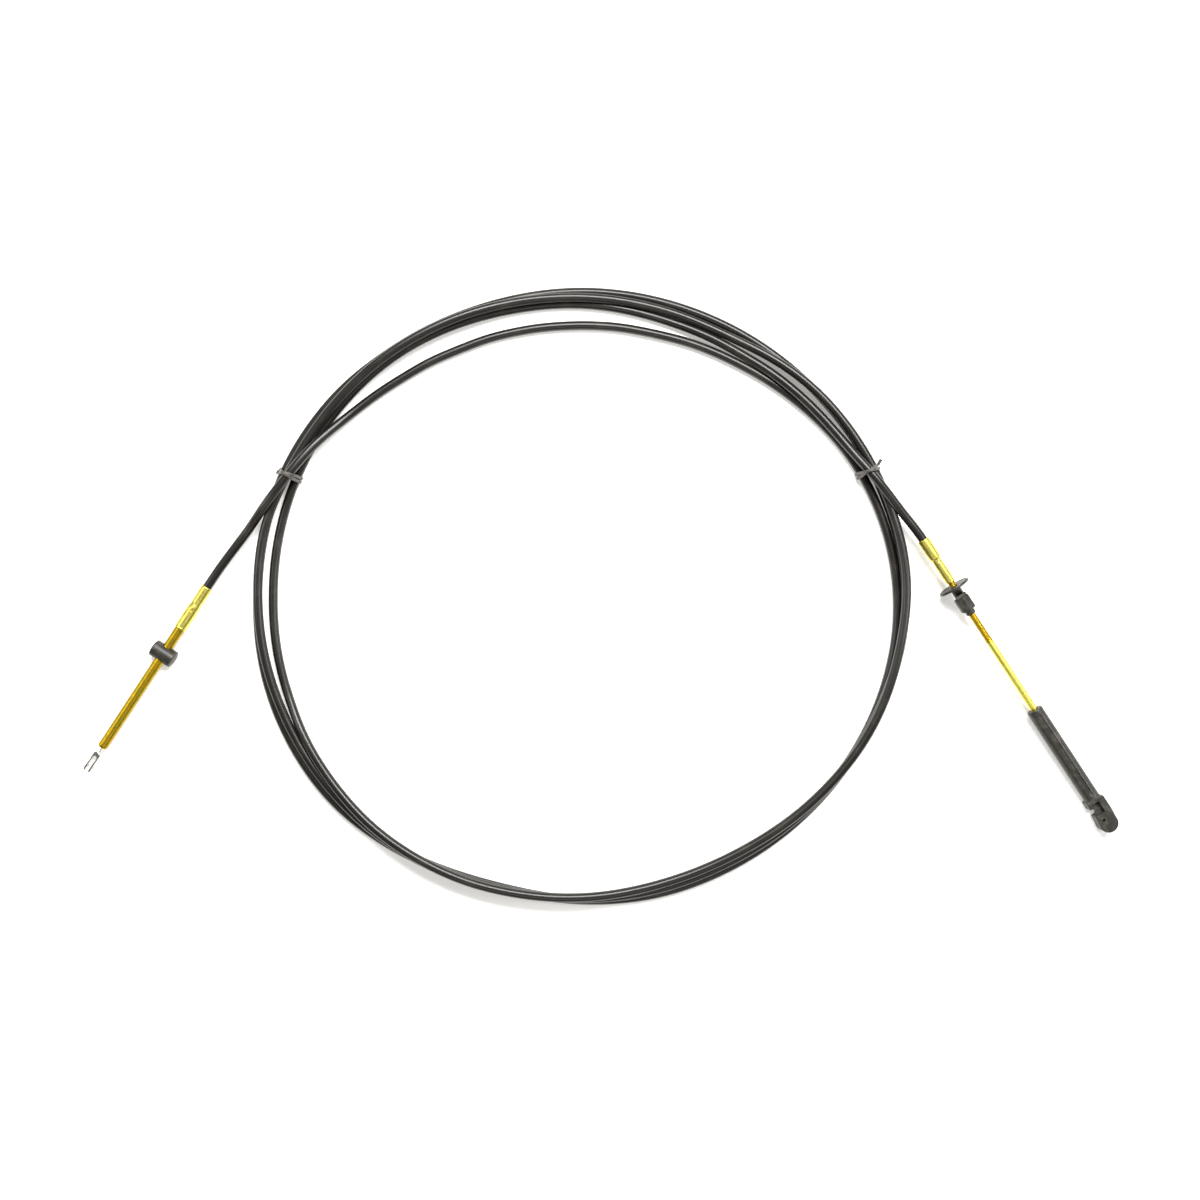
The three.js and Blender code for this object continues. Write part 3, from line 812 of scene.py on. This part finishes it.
def makeEngineHub(finish):
    e = engine
    step = e["hubStep"]
    profile = [
        (0, e["jacketBore"]), (0, e["hubRadius"] - 0.1, 0.3), (0.7, e["hubRadius"] + 0.05, 0.3),
        (step - 2.2, e["hubRadius"], 0.8), (step, e["hubSmall"] - 0.2, 0.8),
        (step + 1.8, e["hubSmall"] - 0.25, 0.6), (step + 3, e["hubSmall"], 0.6),
        (e["hubLength"] - 6, e["hubSmall"], 0.8), (e["hubLength"], e["hubTip"], 0.3),
        (e["hubLength"], e["hubBore"], 0.1), (e["socket"], e["hubBore"]),
        (e["socket"], e["jacketBore"]),
    ]

    def pressed(along, angle):
        # six flats pressed in at the crimp
        crimp = math.exp(-((along - e["crimpAt"]) / e["crimpSpread"]) ** 2)
        return -e["flatDepth"] * crimp * (0.5 + 0.5 * math.cos(6 * angle + 0.4))

    piece = turnedPiece("engine_hub_shell", profile, finish, engineEnd, 64, 0.5, pressed,
                        closed=True)
    return dress(piece, "cable", "engine_hub")


def makeEngineTube(finish):
    e = engine
    lastThread = e["threadEnd"] - e["threadRunout"]

    def threaded(along, angle):
        if not e["tubeStart"] + 0.1 < along <= lastThread:
            return 0
        phase = (along / e["pitch"] - angle / (2 * math.pi)) % 1
        crest = 1 - abs(2 * phase - 1)
        return -e["threadDepth"] * (1 - min(1, crest * 1.5))

    threadedPart = [
        (e["tubeStart"], e["tubeBore"]), (e["tubeStart"], e["threadRadius"]),
        (lastThread, e["threadRadius"]),
    ]
    smoothPart = [
        (e["threadEnd"] + 0.4, e["tubeRadius"], 0.3), (e["tubeEnd"], e["tubeRadius"], 0.3),
        (e["tubeEnd"], e["tubeBore"]),
    ]
    line = subdivided(rounded(threadedPart), e["threadStep"]) + rounded(smoothPart)
    profile = [tuple(point) for point in line]
    piece = turnedPiece("engine_tube_skin", profile, finish, engineEnd, 32, relief=threaded,
                        closed=True)
    return dress(piece, "cable", "engine_tube")


def makeTrunnionWheel(finish):
    e = engine
    wheel, thick, radius = e["wheelAt"], e["wheelThick"], e["wheelRadius"]
    hex0, hex1, neck = e["hexStart"], e["hexEnd"], e["neckRadius"]
    profile = [
        (wheel, 0), (wheel, 4.6, 0.2), (wheel + 0.3, 5.0, 0.2), (wheel + 0.3, radius - 1.6, 0.3),
        (wheel, radius - 1.2, 0.3), (wheel, radius, 0.7), (wheel + thick, radius, 0.7),
        (wheel + thick, neck + 0.6, 0.5), (wheel + thick + 0.7, neck, 0.4), (hex1 + 0.2, neck),
        (hex1 + 0.2, e["collarRadius"]), (e["collarEnd"], e["collarRadius"], 0.5),
        (e["collarEnd"], 0),
    ]
    piece = turnedPiece("trunnion_wheel_moulding", profile, finish, engineEnd, 96)
    corner = e["hexAcross"] / 2 / math.cos(math.pi / 6)
    hexLine = [(hex0, 0), (hex0, corner - 1), (hex0 + 0.6, corner), (hex1 - 0.6, corner),
               (hex1, corner - 1), (hex1, 0)]
    body = turnedPiece("hex", hexLine, finish, engineEnd, 6, turn=math.pi / 6)
    edges = body.modifiers.new("edges", "BEVEL")
    edges.width, edges.segments = e["hexEdge"] * mm, 2
    combine(piece, [body], "UNION")
    slotStart = hex0 - e["slotLength"]
    low, high = neck - e["slotDepth"], neck + 2
    outline = [(slotStart, -neck), (hex0, -neck), (hex0, neck), (slotStart, neck)]
    for name, bottom, top in (("upper_slot", low, high), ("lower_slot", -high, -low)):
        slot = extrudedPiece(name, outline, bottom, top, finish, engineEnd, 0)
        combine(piece, [slot], "DIFFERENCE")
    start, stop, bore = wheel - 2, e["collarEnd"] + 2, e["wheelBore"]
    holeLine = [(start, 0), (start, bore), (stop, bore), (stop, 0)]
    hole = turnedPiece("hole", holeLine, finish, engineEnd, 48)
    combine(piece, [hole], "DIFFERENCE")
    return dress(piece, "trunnion", "trunnion_wheel")


def makeEngineGuide(finish):
    e = engine
    sleeve, radius = e["sleeveStart"], e["sleeveRadius"]
    head, half, heel = e["headStart"], e["headHalf"], e["heelRadius"]
    notch, corner = e["notchStart"], e["notchCorner"]
    notchEnd, notchRoot = notch + e["notchLength"], e["notchFloor"] - corner
    grooveStart, grooveEnd = sleeve + e["grooveInset"][0], head - e["grooveInset"][1]

    def grooved(along, angle):
        # one square-sided groove along the top of the sleeve
        fromTop = (angle - math.pi / 2 + math.pi) % (2 * math.pi) - math.pi
        inside = max(0, min(along - grooveStart, grooveEnd - along))
        ends = min(1, inside / e["grooveEase"])
        return -e["grooveDepth"] * ends * math.exp(-(fromTop * radius / e["grooveHalf"]) ** 4)

    profile = [
        (sleeve, 0), (sleeve, radius, 0.9), (head - 1.5, radius, 0.8), (head + 0.5, radius),
        (head + 2.5, radius - 0.6), (head + 2.5, 0),
    ]
    piece = turnedPiece("engine_guide_moulding", profile, finish, engineEnd, 96, 1.5, grooved)
    outline = arc(head + heel, -half + heel, heel, 180, 270, 4) + [(notch, -half)]
    outline += [(notch, notchRoot)] + arc(notch + corner, notchRoot, corner, 180, 90, 4)[1:]
    outline += arc(notchEnd - corner, notchRoot, corner, 90, 0, 4)
    outline += [(notchEnd, e["bossOffset"] - e["bossRadius"] + corner)]
    outline += arc(e["bossAt"], e["bossOffset"], e["bossRadius"], -112, 96, 22)
    outline += [(notchEnd, half), (head + 1.8, half), (head, 5.4)]
    high = e["headHeight"] / 2
    block = extrudedPiece("head", outline, -high, high, finish, engineEnd, e["headEdge"])
    combine(piece, [block], "UNION")
    bore = [(sleeve - 2, 0), (sleeve - 2, e["guideBore"]), (e["boreEnd"], e["guideBore"]),
            (e["boreEnd"], e["rodHole"]), (e["rodHoleEnd"], e["rodHole"]), (e["rodHoleEnd"], 0)]
    hole = turnedPiece("hole", bore, finish, engineEnd, 48)
    upright = (engineEnd @ Matrix.Translation((e["eyeAt"] * mm, e["eyeOffset"] * mm, 0))
               @ Matrix.Rotation(-math.pi / 2, 4, "Y"))
    eyeLine = [(-9, 0), (-9, e["eyeRadius"]), (9, e["eyeRadius"]), (9, 0)]
    eye = turnedPiece("eye", eyeLine, finish, upright, 32)
    left, back = e["pocketSide"], notch - e["pocketLead"]
    right = left - e["pocketWidth"]
    outline = [(back, right), (notchEnd, right), (notchEnd, left), (back, left)]
    low = high - e["pocketDepth"]
    pocket = extrudedPiece("pocket", outline, low, high + 2, finish, engineEnd, 0)
    combine(piece, [hole, eye, pocket], "DIFFERENCE")
    return dress(piece, "guide", "engine_guide")


makeEngineHub(goldZinc)
makeEngineTube(threadZinc)
makeTrunnionWheel(mouldedBlack)
makeEngineGuide(mouldedBlack)
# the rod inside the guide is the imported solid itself, in its own finish
rodFinishes = frame["nodes"]["engine_rod"].data.materials
rodFinishes.clear()
rodFinishes.append(brightSteel)
print("engine end dressed")


# Floor, light and world
stage = {
    "floorSize": 6.0, "floorColor": (0.84, 0.83, 0.80), "floorGlow": 0.40,
    "world": 0.14, "worldColor": (1.0, 0.99, 0.97),
    "lights": [
        # place in metres, size in metres, power in watts
        ((0.30, 1.15, 1.95), (1.9, 0.5), 105),
        ((0.0, -1.5, 1.9), (1.6, 0.6), 9),
        ((-1.8, 0.3, 1.4), (0.4, 1.2), 12),
        ((1.8, 0.1, 1.4), (0.4, 1.2), 16),
    ],
}


def makeStage():
    half = stage["floorSize"] / 2
    mesh = bpy.data.meshes.new("floor")
    corners = [(-half, -half, 0), (half, -half, 0), (half, half, 0), (-half, half, 0)]
    mesh.from_pydata(corners, [], [(0, 1, 2, 3)])
    ground = bpy.data.objects.new("floor", mesh)
    bpy.context.scene.collection.objects.link(ground)
    look = Finish("floor")
    color = opaque(stage["floorColor"])
    mesh.materials.append(look.surface(color=color, roughness=0.9, glow=color,
                                       glowStrength=stage["floorGlow"]))
    for index, (place, size, power) in enumerate(stage["lights"]):
        data = bpy.data.lights.new(f"softbox_{index}", "AREA")
        data.shape, data.energy = "RECTANGLE", power
        data.size, data.size_y = size
        lamp = bpy.data.objects.new(data.name, data)
        bpy.context.scene.collection.objects.link(lamp)
        lamp.location = place
        lamp.rotation_euler = (-Vector(place)).to_track_quat("-Z", "Y").to_euler()
    world = bpy.data.worlds.new("world")
    bpy.context.scene.world = world
    world.use_nodes = True
    sky = world.node_tree.nodes["Background"].inputs
    sky["Color"].default_value = opaque(stage["worldColor"])
    sky["Strength"].default_value = stage["world"]
    bpy.context.scene.view_settings.view_transform = "Standard"


makeStage()
print("stage set")
